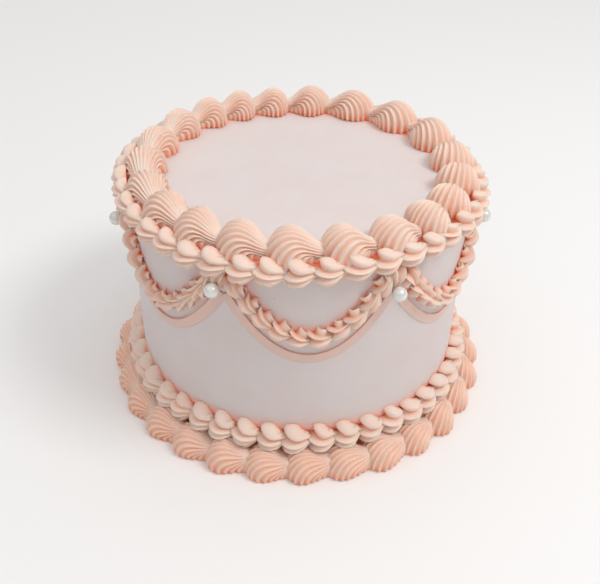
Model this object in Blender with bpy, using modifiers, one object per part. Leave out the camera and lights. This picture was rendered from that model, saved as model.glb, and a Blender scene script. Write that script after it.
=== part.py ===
"""Lambeth cake: a tall round buttercream cake with piped borders, swags, ribbons and sugar pearls.

The cake stands on z = 0 with its axis on Z. Bearings run counterclockwise seen from above, from
the front (-Y), which is also the way that every border was piped: each shell's round head lies
behind and its tail points forward, under the head of the next one.
"""

import math
import random

import bmesh
import bpy
from mathutils import Matrix, Vector

# Cake: six inch sponge under a smooth coat
WALL_RADIUS = 0.083
CAKE_HEIGHT = 0.1115
EDGE_ROUND = 0.0015
WALL_SIDES = 60
# Space that each piped piece keeps to the one it lies on
GAP = 0.0003

# Every shell: its outline narrows towards the tail, more so the longer it is for its width, and
# starts a little way off the tail's tip, given as a share of the length
NARROWING = 2.53
NARROWING_POWER = 2.3
TAIL_START = 0.10
# Share of the meridians' fan that is spread evenly; the rest crowds over the dome
EVEN_FAN = 0.45
# How fast the dome falls off to the sides, and the share of its height that bulges over the foot
SIDE_FALL = 0.8
BELLY = 0.14
# Share of the length from the tail to the middle of the base
BASE_MIDDLE = 0.3
# How fast the ridges grow away from the tail
RIDGE_GROWTH = 1.8
# Share of the way from the tail to the edge at which a shell is highest, and its tail's height
CREST = 0.52
TAIL = 0.3
# Edges between faces at a larger angle than this stay sharp, in degrees
SHARP_ANGLE = 60.0

# Large shells round the rim, piped with a fine-toothed tip
RIM_SHELLS = 21
RIM_RADIUS = 0.0731
RIM_PHASE = 0.2
RIM_SHELL_SIZE = (0.0284, 0.0168, 0.0130)
RIM_RIDGES = 8
RIM_RIDGE_DEPTH = 0.0026
RIM_RINGS = (0.4, 0.75, 1.0, 0.93)
# Uneven hand spacing of the rim shells: three slow waves, each as (times round the cake, degrees,
# bearing of its zero), and how much longer and taller a shell gets with its spacing
RIM_WAVES = ((1.0, 3.1, 132.5), (2.0, -2.9, 30.2), (3.0, 2.2, 17.0))
RIM_LONGER = 0.75
RIM_TALLER = 0.3

# Large shells round the foot
FOOT_SHELLS = 30
FOOT_RADIUS = 0.0924
FOOT_PHASE = 5.6
FOOT_SHELL_SIZE = (0.0246, 0.0160, 0.0120)
FOOT_RIDGES = 6
FOOT_RIDGE_DEPTH = 0.0022
FOOT_RINGS = (0.55, 0.97, 0.93)
# Share of the triangles that stay when the seams' small ones are collapsed
FOOT_KEEP = 0.94

# Small shells under the rim and above the foot, piped with an open star tip
UPPER_SHELLS = 44
UPPER_HEIGHT = 0.1108
UPPER_PHASE = 1.6
UPPER_SHELL_SIZE = (0.0158, 0.0116, 0.0068)
LOWER_SHELLS = 45
LOWER_HEIGHT = 0.0153
LOWER_PHASE = 3.6
LOWER_SHELL_SIZE = (0.0160, 0.0114, 0.0084)
STAR_RIDGES = 4
STAR_RINGS = (0.62, 0.98)
WALL_RIDGE_DEPTH = 0.0024
WALL_KEEP = 0.65

# Seven swags of small shells hang between seven junctions, with a flat ribbon below each
SWAGS = 7
JUNCTION_PHASE = 28.3
SWAG_SHELLS = 10
SWAG_SPAN = 41.4
SWAG_LOW = 0.0768
SWAG_CURVE = 5.2e-5
SWAG_SHELL_SIZE = (0.0118, 0.0100, 0.0062)
SWAG_RIDGE_DEPTH = 0.0018
SWAG_KEEP = 0.62
RIBBON_SPAN = 49.0
RIBBON_LOW = 0.0635
RIBBON_CURVE = 4.73e-5
RIBBON_WIDTH = 0.0034
RIBBON_THICKNESS = 0.0012
RIBBON_POINTS = 8

# A drop runs down from the upper border at each junction and ends in a sugar pearl
DROP_TOP = 0.1042
DROP_SIZE = (0.0094, 0.0082, 0.0034)
DROP_RIDGE_DEPTH = 0.0012
DROP_RINGS = (0.6, 0.85, 0.98)
DROP_CREST = 0.77
DROP_TAIL = 0.2
PEARL_RADIUS = 0.0033
PEARL_HEIGHT = 0.0974
PEARL_DISTANCE = 0.0066
# The pearls don't hang quite level: (times round the cake, metres, bearing of its zero)
PEARL_WAVE = (3.0, -0.0011, 0.0)

# Colours of the icing and the pearls
COAT_COLOUR = (0.80, 0.70, 0.69, 1.0)
PIPING_COLOUR = (0.86, 0.59, 0.47, 1.0)
PEARL_COLOUR = (0.86, 0.88, 0.83, 1.0)


def clear_scene():
    """Removes every object of the open file."""
    for obj in list(bpy.data.objects):
        bpy.data.objects.remove(obj, do_unlink=True)


def new_collection(name, parent, hidden=False):
    """A collection under parent. A hidden one holds only shapes that are joined or cut."""
    made = bpy.data.collections.new(name)
    made.hide_render = hidden
    parent.children.link(made)
    return made


def material(name, colour, roughness, subsurface):
    """A Principled material of one colour, soft inside like icing or nacre."""
    made = bpy.data.materials.new(name)
    made.use_nodes = True
    made.diffuse_color = colour
    shader = made.node_tree.nodes["Principled BSDF"]
    shader.inputs["Base Color"].default_value = colour
    shader.inputs["Roughness"].default_value = roughness
    shader.inputs["Metallic"].default_value = 0.0
    shader.inputs["Subsurface Weight"].default_value = subsurface
    shader.inputs["Subsurface Scale"].default_value = 0.002
    return made


def on_top(bearing, radius, height):
    """Axes for a shell that lies on a level surface: X forward, Z up."""
    turn = Matrix.Rotation(math.radians(bearing), 4, "Z")
    return turn @ Matrix.Translation((0.0, -radius, height))


def on_wall(bearing, height, slope=0.0):
    """Axes for a shell on the wall: Z outward, X forward along the border, tilted up by slope."""
    turn = Matrix.Rotation(math.radians(bearing), 4, "Z")
    outward = Matrix.Rotation(math.radians(90.0), 4, "X")
    tilt = Matrix.Rotation(slope, 4, "Z")
    place = Matrix.Translation((0.0, -(WALL_RADIUS + GAP), height))
    return turn @ place @ outward @ tilt


def shell_outline(angle, length, width):
    """Distance from the tail to the edge of a shell's base, in the direction of angle."""
    narrowness = NARROWING * (length / width) ** NARROWING_POWER
    stub = TAIL_START * length
    return stub + (length - stub) * (0.5 + 0.5 * math.cos(angle)) ** narrowness


def column_bearing(column, ridges):
    """Direction of a meridian from the tail. They lie closer together over the dome."""
    way = abs(column) / ridges
    return math.copysign(math.pi * (EVEN_FAN * way + (1.0 - EVEN_FAN) * way**4), column)


def shell_height(share, reach, crest, tail):
    """Height of a shell above its belly, for a share of the way from the tail to the edge."""
    top = max(tail, reach)
    if share < crest:
        rise = 0.5 - 0.5 * math.cos(math.pi * share / crest)
        return tail + (top - tail) * rise
    fall = (share - crest) / (1.0 - crest)
    return top * math.sqrt(max(0.0, 1.0 - fall * fall))


def piped_shell(name, size, ridges, rings, depth, crest=CREST, tail=TAIL):
    """A shell of icing, shaped from a sphere whose poles become the tail and the base.

    The sphere's meridians fan out from the tail over the dome. Every second one is raised into a
    ridge and the others are sunk. Its parallels are the rings, each given as a share of the way
    from the tail to the edge, and the last one is the foot, on the ground under the belly.
    """
    length, width, height = size
    belly = BELLY * height if len(rings) > 2 else 0.0
    mesh = bpy.data.meshes.new(name)
    body = bmesh.new()
    bands = len(rings) + 1
    bmesh.ops.create_uvsphere(body, u_segments=2 * ridges, v_segments=bands, radius=1.0)
    raised = {}
    for vert in body.verts:
        level = round(math.acos(max(-1.0, min(1.0, vert.co.z))) / math.pi * bands)
        if level == 0:
            vert.co = Vector((0.0, 0.0, belly + tail * (height - belly)))
            continue
        if level == bands:
            vert.co = Vector((-BASE_MIDDLE * length, 0.0, 0.0))
            continue
        column = round(math.atan2(vert.co.y, vert.co.x) / math.pi * ridges)
        angle = column_bearing(column, ridges)
        edge = shell_outline(angle, length, width)
        reach = (edge / length) ** SIDE_FALL
        share = rings[level - 1]
        foot = level == bands - 1
        rise = 0.0 if foot else belly + (height - belly) * shell_height(share, reach, crest, tail)
        vert.co = Vector((-edge * share * math.cos(angle), -edge * share * math.sin(angle), rise))
        if not foot or len(rings) == 2:
            amount = min(1.0, RIDGE_GROWTH * share * reach)
            raised[vert] = amount if column % 2 == 0 else -amount
    body.normal_update()
    moves = {vert: vert.normal * (0.5 * depth * amount) for vert, amount in raised.items()}
    for vert, move in moves.items():
        level_move = move.xy.to_3d() if vert.co.z == 0.0 else move
        vert.co += level_move
    # The origin moves from the tail to the middle of the shell
    bmesh.ops.translate(body, verts=body.verts, vec=(0.5 * length, 0.0, 0.0))
    bmesh.ops.triangulate(body, faces=body.faces)
    body.to_mesh(mesh)
    body.free()
    return mesh


def icing_run(name, shape, places, target, colour, keep=1.0):
    """One body of icing: a copy of the shell at every place, joined by a single union.

    keep is the share of the triangles that stay when the seams' small ones are collapsed.
    """
    parent = bpy.context.scene.collection
    rest = new_collection(name + "_rest", parent, hidden=True)
    made = []
    for i, place in enumerate(places):
        copy = bpy.data.objects.new(f"{name}_{i}", shape)
        copy.matrix_world = place
        rest.objects.link(copy)
        made.append(copy)
    first = bpy.data.objects.new(name, shape.copy())
    first.data.transform(places[0])
    first.data.materials.append(colour)
    target.objects.link(first)
    bpy.data.objects.remove(made[0], do_unlink=True)
    join = first.modifiers.new("union", "BOOLEAN")
    join.operation = "UNION"
    join.operand_type = "COLLECTION"
    join.collection = rest
    join.solver = "MANIFOLD"
    if keep < 1.0:
        thin = first.modifiers.new("thin", "DECIMATE")
        thin.ratio = keep
    bpy.context.view_layer.update()
    graph = bpy.context.evaluated_depsgraph_get()
    joined = bpy.data.meshes.new_from_object(first.evaluated_get(graph))
    first.modifiers.clear()
    first.data = joined
    joined.name = name
    for copy in list(rest.objects):
        bpy.data.objects.remove(copy, do_unlink=True)
    bpy.data.collections.remove(rest)
    joined.set_sharp_from_angle(angle=math.radians(SHARP_ANGLE))
    return first


def uneven(draw, size=0.04, turn=2.5):
    """A small change of size and direction, as a hand makes it."""
    scale = 1.0 + draw.uniform(-size, size)
    return Matrix.Rotation(math.radians(draw.uniform(-turn, turn)), 4, "Z") @ Matrix.Scale(scale, 4)


def cake_body(target, colour):
    """The coated cake: a turned solid with a slightly rounded upper edge."""
    profile = [(0.0, CAKE_HEIGHT)]
    steps = 2
    for i in range(steps + 1):
        turn = 0.5 * math.pi * i / steps
        out = WALL_RADIUS - EDGE_ROUND + EDGE_ROUND * math.sin(turn)
        up = CAKE_HEIGHT - EDGE_ROUND + EDGE_ROUND * math.cos(turn)
        profile.append((out, up))
    profile += [(WALL_RADIUS, 0.0), (0.0, 0.0)]
    mesh = bpy.data.meshes.new("cake_body")
    edges = [(i, i + 1) for i in range(len(profile) - 1)]
    mesh.from_pydata([(x, 0.0, z) for x, z in profile], edges, [])
    made = bpy.data.objects.new("cake_body", mesh)
    mesh.materials.append(colour)
    target.objects.link(made)
    turned = made.modifiers.new("turned", "SCREW")
    turned.steps = WALL_SIDES
    turned.render_steps = WALL_SIDES
    turned.use_merge_vertices = True
    turned.merge_threshold = 0.00001
    turned.use_smooth_shade = True
    return made


def wave_at(bearing, wave):
    """Height of a slow wave round the cake, at a bearing in degrees."""
    times, amount, zero = wave
    return amount * math.sin(math.radians(times * (bearing - zero)))


def rim_bearing(index):
    """Bearing of a rim shell, with the slow waves of a hand-spaced border."""
    even = RIM_PHASE + 360.0 * index / RIM_SHELLS
    return even + sum(wave_at(even, wave) for wave in RIM_WAVES)


def rim_border(target, colour):
    """Large shells that stand on the top along its edge, longer where they are spaced wider."""
    draw = random.Random(21)
    shape = piped_shell("rim_shell", RIM_SHELL_SIZE, RIM_RIDGES, RIM_RINGS, RIM_RIDGE_DEPTH)
    bearings = [rim_bearing(i) for i in range(RIM_SHELLS)]
    places = []
    for i, bearing in enumerate(bearings):
        ahead = (bearings[(i + 1) % RIM_SHELLS] - bearing) % 360.0
        wider = ahead * RIM_SHELLS / 360.0 - 1.0
        place = on_top(bearing, RIM_RADIUS, CAKE_HEIGHT + GAP) @ uneven(draw, 0.02)
        stretch = (1.0 + RIM_LONGER * wider, 1.0, 1.0 + RIM_TALLER * wider, 1.0)
        places.append(place @ Matrix.Diagonal(stretch))
    return icing_run("rim_shell_border", shape, places, target, colour)


def foot_border(target, colour):
    """Large shells on the ground against the wall."""
    draw = random.Random(30)
    shape = piped_shell("foot_shell", FOOT_SHELL_SIZE, FOOT_RIDGES, FOOT_RINGS, FOOT_RIDGE_DEPTH)
    places = []
    for i in range(FOOT_SHELLS):
        bearing = FOOT_PHASE + 360.0 * i / FOOT_SHELLS
        place = on_top(bearing, FOOT_RADIUS, 0.0) @ uneven(draw, 0.02, 2.0)
        places.append(place)
    return icing_run("foot_shell_border", shape, places, target, colour, FOOT_KEEP)


def wall_border(name, count, phase, height, size, target, colour):
    """Small shells in a ring on the wall."""
    draw = random.Random(count)
    shape = piped_shell(name + "_shell", size, STAR_RIDGES, STAR_RINGS, WALL_RIDGE_DEPTH)
    places = []
    for i in range(count):
        bearing = phase + 360.0 * i / count + draw.uniform(-0.4, 0.4)
        places.append(on_wall(bearing, height) @ uneven(draw, 0.02, 4.0))
    return icing_run(name, shape, places, target, colour, WALL_KEEP)


def run_of_swag(off):
    """Length of a swag from its middle to so many degrees off it. The drape is a parabola."""
    rise = 2.0 * SWAG_CURVE * off / math.radians(WALL_RADIUS)
    slope_run = rise * math.sqrt(1.0 + rise * rise) + math.asinh(rise)
    return slope_run * math.radians(WALL_RADIUS) ** 2 / (4.0 * SWAG_CURVE)


def place_along_swag(share):
    """Degrees off a swag's middle at a share of its half's length, found by halving."""
    low, high = 0.0, 0.5 * SWAG_SPAN
    target = abs(share) * run_of_swag(high)
    for _ in range(20):
        middle = 0.5 * (low + high)
        if run_of_swag(middle) < target:
            low = middle
        else:
            high = middle
    return math.copysign(low, share)


def swag(index, target, colour):
    """A drape of small shells between two junctions, as far apart as each other along it."""
    draw = random.Random(70 + index)
    middle = JUNCTION_PHASE + 360.0 * (index - 0.5) / SWAGS
    name = f"swag_{index}"
    shape = piped_shell(name + "_shell", SWAG_SHELL_SIZE, STAR_RIDGES, STAR_RINGS, SWAG_RIDGE_DEPTH)
    places = []
    for i in range(SWAG_SHELLS):
        off = place_along_swag((2.0 * i + 1.0) / SWAG_SHELLS - 1.0)
        height = SWAG_LOW + SWAG_CURVE * off * off
        rise = 2.0 * SWAG_CURVE * off / math.radians(WALL_RADIUS)
        places.append(on_wall(middle + off, height, math.atan(rise)) @ uneven(draw, 0.03, 3.0))
    return icing_run(name, shape, places, target, colour, SWAG_KEEP)


def ribbon(index, target, colour):
    """A flat line of icing that hangs lower than the swag, as a curve with a rounded edge."""
    middle = JUNCTION_PHASE + 360.0 * (index - 0.5) / SWAGS
    line = bpy.data.curves.new(f"ribbon_{index}", "CURVE")
    line.dimensions = "3D"
    line.twist_mode = "Z_UP"
    spline = line.splines.new("POLY")
    spline.points.add(RIBBON_POINTS - 1)
    # Straight runs between the points cut inside the round wall by this much
    chord = RIBBON_SPAN / (RIBBON_POINTS - 1)
    sag = WALL_RADIUS * (1.0 - math.cos(math.radians(0.5 * chord)))
    out = WALL_RADIUS + GAP + sag + 0.5 * RIBBON_THICKNESS
    for i in range(RIBBON_POINTS):
        off = RIBBON_SPAN * (i / (RIBBON_POINTS - 1) - 0.5)
        turn = math.radians(middle + off)
        height = RIBBON_LOW + RIBBON_CURVE * off * off
        spline.points[i].co = (out * math.sin(turn), -out * math.cos(turn), height, 1.0)
    line.bevel_depth = 0.5 * RIBBON_THICKNESS
    line.bevel_resolution = 0
    line.extrude = 0.5 * (RIBBON_WIDTH - RIBBON_THICKNESS)
    line.use_fill_caps = True
    made = bpy.data.objects.new(f"ribbon_{index}", line)
    line.materials.append(colour)
    target.objects.link(made)
    return made


def junction(index, target, icing, nacre):
    """The drop and the sugar pearl at the end of a swag."""
    bearing = JUNCTION_PHASE + 360.0 * index / SWAGS
    name = f"drop_{index}"
    rings, depth = DROP_RINGS, DROP_RIDGE_DEPTH
    shape = piped_shell(name, DROP_SIZE, STAR_RIDGES, rings, depth, DROP_CREST, DROP_TAIL)
    drop = bpy.data.objects.new(name, shape)
    shape.materials.append(icing)
    down = on_wall(bearing, DROP_TOP - 0.5 * DROP_SIZE[0], math.radians(-90.0))
    drop.matrix_world = down
    target.objects.link(drop)

    ball = bmesh.new()
    bmesh.ops.create_icosphere(ball, subdivisions=2, radius=PEARL_RADIUS)
    mesh = bpy.data.meshes.new(f"pearl_{index}")
    ball.to_mesh(mesh)
    ball.free()
    mesh.shade_smooth()
    mesh.materials.append(nacre)
    pearl = bpy.data.objects.new(f"pearl_{index}", mesh)
    turn = math.radians(bearing)
    out = WALL_RADIUS + PEARL_DISTANCE
    height = PEARL_HEIGHT + wave_at(bearing, PEARL_WAVE)
    pearl.location = (out * math.sin(turn), -out * math.cos(turn), height)
    target.objects.link(pearl)


def main():
    clear_scene()
    cake = new_collection("lambeth_cake", bpy.context.scene.collection)
    coat = material("coat_icing", COAT_COLOUR, 0.55, 0.3)
    piping = material("piped_icing", PIPING_COLOUR, 0.6, 0.4)
    nacre = material("pearl", PEARL_COLOUR, 0.18, 0.1)
    cake_body(cake, coat)
    rim_border(cake, piping)
    foot_border(cake, piping)
    upper = (UPPER_SHELLS, UPPER_PHASE, UPPER_HEIGHT, UPPER_SHELL_SIZE)
    lower = (LOWER_SHELLS, LOWER_PHASE, LOWER_HEIGHT, LOWER_SHELL_SIZE)
    wall_border("upper_small_border", *upper, cake, piping)
    wall_border("lower_small_border", *lower, cake, piping)
    for index in range(SWAGS):
        swag(index, cake, piping)
        ribbon(index, cake, piping)
        junction(index, cake, piping, nacre)


main()
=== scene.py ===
"""Lambeth cake: a smooth buttercream coat, piped all round with shells, swags, ribbons and pearls.

The packed solids give the wall, the top, the number of swags and the pearls. Each operator lays one
kind of icing over them, from its own group of settings. A panel in the 3D view's sidebar lists the
operators in the order in which they run.

Bearings run counterclockwise seen from above, from the front (-Y). That is also the way in which
every border was piped: a shell starts at its round head and ends in a tail, which lies under the
head of the next one. In a shell's own axes X points along the border towards the tail, Z away from
what it lies on, and Y to the left of both.
"""

import math
from typing import NamedTuple

import bpy
import numpy as np
from bpy.props import FloatProperty, FloatVectorProperty, IntProperty, PointerProperty
from mathutils import Matrix, Vector


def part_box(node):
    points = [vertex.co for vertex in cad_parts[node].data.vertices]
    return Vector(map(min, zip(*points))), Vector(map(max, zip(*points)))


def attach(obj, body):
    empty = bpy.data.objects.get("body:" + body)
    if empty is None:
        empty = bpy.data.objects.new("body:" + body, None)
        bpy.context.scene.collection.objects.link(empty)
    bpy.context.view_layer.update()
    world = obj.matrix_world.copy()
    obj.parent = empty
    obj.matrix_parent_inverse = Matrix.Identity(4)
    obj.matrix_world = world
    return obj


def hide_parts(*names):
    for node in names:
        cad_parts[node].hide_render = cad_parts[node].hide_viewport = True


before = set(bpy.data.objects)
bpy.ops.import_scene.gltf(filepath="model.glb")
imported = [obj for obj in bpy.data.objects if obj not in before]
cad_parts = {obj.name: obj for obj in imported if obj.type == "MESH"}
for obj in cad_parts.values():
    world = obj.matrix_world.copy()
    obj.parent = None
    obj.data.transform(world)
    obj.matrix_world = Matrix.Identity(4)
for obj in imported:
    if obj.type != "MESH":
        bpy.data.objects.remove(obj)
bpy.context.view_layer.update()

bl_info = {
    "name": "Lambeth Cake",
    "version": (1, 0, 0),
    "blender": (4, 5, 0),
    "location": "3D View > Sidebar > Cake",
    "description": "Pipes the icing of a lambeth cake over its packed solids",
    "category": "Add Mesh",
}

FULL_TURN = 2.0 * math.pi
QUARTER_TURN = 0.5 * math.pi

# The coated cake as it was packed, the length of one degree round its wall, and its swags
WALL_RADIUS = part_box("cake_body")[1].x
CAKE_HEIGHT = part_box("cake_body")[1].z
WALL_DEGREE = math.radians(WALL_RADIUS)
SWAGS = sum(name.startswith("swag_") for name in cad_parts)


def size_of(name, description, default):
    """A length that a user may change."""
    return FloatProperty(
        name=name, description=description, default=default, precision=4, unit="LENGTH", subtype="DISTANCE"
    )


def turn_of(name, description, degrees):
    """An angle that a user may change, given in degrees."""
    return FloatProperty(
        name=name, description=description, default=math.radians(degrees), unit="ROTATION", subtype="ANGLE"
    )


def share_of(name, description, default):
    """A share from nought to one that a user may change."""
    return FloatProperty(
        name=name, description=description, default=default, min=0.0, max=1.0, subtype="FACTOR"
    )


def curve_of(default):
    """How quickly a drape rises on both sides of its lowest point."""
    return FloatProperty(
        name="Curve", description="Metres of rise per square degree", default=default, precision=7
    )


def count_of(name, description, default):
    """A whole number that a user may change."""
    return IntProperty(name=name, description=description, default=default, min=1, max=200)


def colour_of(name, description, default):
    """A colour that a user may change."""
    return FloatVectorProperty(
        name=name, description=description, default=default, size=3, min=0.0, max=1.0, subtype="COLOR"
    )


class CakeCoatSettings(bpy.types.PropertyGroup):
    """The smooth buttercream under the piping."""

    edge_round: size_of("Edge", "How far the upper edge is rounded off", 0.0022)
    waviness: size_of("Waviness", "How far the scraper wandered from a true round", 0.00018)
    colour: colour_of("Colour", "Colour of the coat", (0.76, 0.69, 0.68))


class CakeRimSettings(bpy.types.PropertyGroup):
    """Large shells that stand on the top along its edge."""

    shells: count_of("Shells", "How many shells there are round the rim", 21)
    middle: turn_of("Middle", "Bearing of the middle of what shows of the first shell", 0.2)
    radius: size_of("Radius", "From the cake's axis to the middle of the border", 0.0748)
    cover: share_of("Cover", "Share of the spacing by which a head covers the tail before it", 0.26)
    width: size_of("Width", "Across a shell", 0.0208)
    height: size_of("Height", "From the cake's top to a shell's crest", 0.0128)
    overhang: size_of("Overhang", "How far the outer side hangs over the cake's edge", 0.0046)
    ridges: count_of("Ridges", "Ridges round a shell, those under the next head among them", 22)
    ridge_depth: size_of("Ridge depth", "From a ridge's crest to the bottom of its groove", 0.0016)


class CakeFootSettings(bpy.types.PropertyGroup):
    """Large shells that stand on the ground against the wall."""

    shells: count_of("Shells", "How many shells there are round the foot", 30)
    head: turn_of("Head", "Bearing of the end of the first shell's head", -2.4)
    radius: size_of("Radius", "From the cake's axis to the middle of the border", 0.0901)
    cover: share_of("Cover", "Share of the spacing by which a head covers the tail before it", 0.3)
    width: size_of("Width", "Across a shell", 0.0200)
    height: size_of("Height", "From the ground to a shell's crest", 0.0130)
    ridges: count_of("Ridges", "Ridges round a shell, those under the next head among them", 22)
    ridge_depth: size_of("Ridge depth", "From a ridge's crest to the bottom of its groove", 0.0011)


class CakeUpperSettings(bpy.types.PropertyGroup):
    """Small shells on the wall under the rim."""

    shells: count_of("Shells", "How many shells there are round the wall", 44)
    head: turn_of("Head", "Bearing of the end of the first shell's head", -3.2)
    level: size_of("Level", "From the ground to the middle of the border", 0.1108)
    wave: size_of("Wave", "How far the border wanders up and down", 0.0013)
    cover: share_of("Cover", "Share of the spacing by which a head covers the tail before it", 0.28)
    width: size_of("Width", "Across a shell", 0.0092)
    height: size_of("Height", "From the wall to a shell's crest", 0.0070)
    fins: count_of("Fins", "Fins round a shell, the leaf on its upper side among them", 7)
    fin_depth: size_of("Fin depth", "From a fin's edge to the bottom of its groove", 0.0034)


class CakeLowerSettings(bpy.types.PropertyGroup):
    """Small shells on the wall above the foot."""

    shells: count_of("Shells", "How many shells there are round the wall", 45)
    head: turn_of("Head", "Bearing of the end of the first shell's head", -2.8)
    level: size_of("Level", "From the ground to the middle of the border", 0.0166)
    wave: size_of("Wave", "How far the border wanders up and down", 0.0003)
    cover: share_of("Cover", "Share of the spacing by which a head covers the tail before it", 0.28)
    width: size_of("Width", "Across a shell", 0.0122)
    height: size_of("Height", "From the wall to a shell's crest", 0.0078)
    fins: count_of("Fins", "Fins round a shell, the leaf on its upper side among them", 7)
    fin_depth: size_of("Fin depth", "From a fin's edge to the bottom of its groove", 0.0041)


class CakeSwagSettings(bpy.types.PropertyGroup):
    """Drapes of small shells that hang between the junctions."""

    junction: turn_of("Junction", "Bearing of the first junction", 28.3)
    shells: count_of("Shells", "How many shells one swag has", 10)
    span: turn_of("Span", "How far round the cake a swag reaches", 45.6)
    low: size_of("Low point", "From the ground to the lowest part of a swag", 0.0762)
    shift: turn_of("Shift", "How far past the middle between two junctions a swag is lowest", 1.1)
    curve: curve_of(5.2e-5)
    cover: share_of("Cover", "Share of the spacing by which a head covers the tail before it", 0.45)
    width: size_of("Width", "Across a shell", 0.0074)
    height: size_of("Height", "From the wall to a shell's crest", 0.0052)
    fins: count_of("Fins", "Fins round a shell, the leaf on its upper side among them", 7)
    fin_depth: size_of("Fin depth", "From a fin's edge to the bottom of its groove", 0.0030)


class CakeRibbonSettings(bpy.types.PropertyGroup):
    """Flat bands of icing that hang lower than the swags."""

    span: turn_of("Span", "How far round the cake a ribbon reaches", 50.6)
    low: size_of("Low point", "From the ground to the lowest part of a ribbon", 0.0635)
    shift: turn_of("Shift", "How far past the middle between two junctions a ribbon is lowest", 1.3)
    curve: curve_of(4.73e-5)
    width: size_of("Width", "Across the band", 0.0048)
    thickness: size_of("Thickness", "How far the band stands off the wall", 0.0008)


class CakeJunctionSettings(bpy.types.PropertyGroup):
    """A drop of icing and a sugar pearl where two swags meet."""

    top: size_of("Top", "From the ground to the drop's head", 0.1072)
    length: size_of("Length", "From a drop's head to its tail", 0.0122)
    width: size_of("Width", "Across a drop", 0.0092)
    height: size_of("Height", "From the wall to a drop's crest", 0.0048)
    petals: count_of("Petals", "Petals round a drop", 6)
    petal_depth: size_of("Petal depth", "From a petal's edge to the bottom of its groove", 0.0028)


class CakeIcingSettings(bpy.types.PropertyGroup):
    """Colours of the piping and the pearls."""

    crest: colour_of("Crest", "Colour of the piping where it stands out", (0.90, 0.73, 0.637))
    # Groove: painted shade, the warm dark of light bounced in the piping's grooves. The clouds of the
    # piping and the ribbons also take it as their own tone
    groove: colour_of("Groove", "Colour of the piping in a groove", (0.90, 0.45, 0.29))
    # Pinch: painted shade where the piping is pressed against what it lies on, and in the deepest gaps on
    # the coat
    pinch: colour_of(
        "Pinch", "Colour of the piping where it is pinched against what it lies on", (0.80, 0.20, 0.08)
    )
    # Glow: painted bounce light, the piping's colour on the coat right beside it
    glow: colour_of("Glow", "Colour of the coat right beside the piping", (1.0, 0.55, 0.45))
    pearl: colour_of("Pearl", "Colour of the sugar pearls", (0.84, 0.86, 0.82))


class CakeStageSettings(bpy.types.PropertyGroup):
    """The floor, the lights and the camera."""

    floor: colour_of("Floor", "Colour of the floor", (0.93, 0.93, 0.93))
    surround: FloatProperty(
        name="Surround", description="Strength of the light from straight above", default=1.0
    )
    horizon: FloatProperty(name="Horizon", description="Strength of the light from the sides", default=0.08)
    key: FloatProperty(name="Key", description="Power of the large soft light", default=5.0, unit="POWER")
    lens: FloatProperty(name="Lens", description="Focal length in millimetres", default=47.53)
    tilt: turn_of("Tilt", "How far the camera looks down", 35.98)
    roll: turn_of("Roll", "How far the camera leans to one side", 1.39)


class Tip(NamedTuple):
    """A fine-toothed tip and how the icing came out of it, for one kind of large shell."""

    length: float
    width: float
    height: float
    ridges: int
    depth: float
    tail_width: float
    tail_height: float
    spread: float
    bend: float
    fading: float
    plain: float
    merging: float
    columns: int
    rows: int


class StarTip(NamedTuple):
    """An open star tip and how the icing came out of it, for one kind of small shell."""

    length: float
    width: float
    height: float
    fins: int
    depth: float
    tail_width: float
    tail_height: float
    spread: float
    bend: float
    leaf: float
    sag: float
    columns: int
    rows: int


# Shares of a shell's length from the end of its head
WIDEST = 0.31
HIGHEST = 0.34
# Powers: how quickly a shell narrows towards its tail, and how square it is across
NARROWING = 1.5
SQUARENESS = 2.2
# Points along a shell's edge, and the power by which they crowd at the end of its head
EDGE_POINTS = 721
EDGE_CROWDING = 1.6
# A thread of icing: the share of it that leaves the tail straight, how far its end is raked towards
# the tail, the power by which the threads crowd at the tail's sides, and its points
STRAIGHT = 0.55
RAKE = 0.3
LIFT = 1.2
THREAD_POINTS = 60
# How high a shell bulges out over what it lies on, as a share of its height, how much of that is left
# at the tail, and how far it is tucked in below, as a share of its width
BELLY = 0.17
TAIL_BELLY = 0.4
TUCK = 0.04
TUCK_ROWS = 4

# Ridges and fins: how closely the columns of points crowd round a crest, how far it is rounded off,
# and the share of a ridge's height by which its grooves lie under the smooth shell
GATHER = 1.35
CREST_ROUNDING = 0.004
GROOVE_SHARE = 0.45

# Ridges of a large shell: how uneven their widths and heights are, the rows from the tail over which
# they rise, the spacing over which they part, in usual spacings, and the widest that deepens them
RIDGE_WIDTHS = 0.16
RIDGE_HEIGHTS = 0.15
RISING_ROWS = 4.0
PARTING = 0.4
WIDEST_SPACING = 1.1
# The power by which they fade beside the tail, and how much flatter they are low down
RIDGE_FADING = 1.5
LOW_FLATTENING = 0.3
# Soft lumps, and the height up to which a shell counts as low, where its ridges flatten and it takes
# painted shade, as shares of its height
RIDGED_LUMPS = 0.014
RIDGED_LOW = 0.4
# Painted shade in the grooves: how narrow it is, what every groove has, what a deep one has, and what
# they have high up and more of low down. Painted shade on a shell's foot, and what it loses away from
# the tail
RIDGED_NARROWNESS = 1.5
SHALLOW_GROOVE_SHADE = 0.25
DEEP_GROOVE_SHADE = 0.75
HIGH_GROOVE = 0.8
LOW_GROOVE = 0.5
SHELL_FOOT_SHADE = 0.65
SHADE_LOST_OFF_TAIL = 0.3

# A star shell: the share of its edge that its uppermost fin takes, which is a broad leaf, the places
# of the crests on the leaf and on the other fins, and the share of the columns before each
LEAF = 0.43
LEAF_CREST = 0.84
LEAF_RISING = 0.64
FIN_CREST = 0.5
FIN_RISING = 0.5
LEAF_MORE_COLUMNS = 4
# How much of the leaf's rise is straight and how much bulges
LEAF_SLOPE = 0.8
LEAF_BULGE = 0.2
# How uneven the fins are, the power by which they grow from the tail, and the shares of the edge over
# which they rise and over which the shell lies against the next one
FIN_WIDTHS = 0.14
FIN_HEIGHTS = 0.18
FIN_GROWTH = 0.7
FIN_EDGE = 0.08
AGAINST = 0.1
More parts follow.
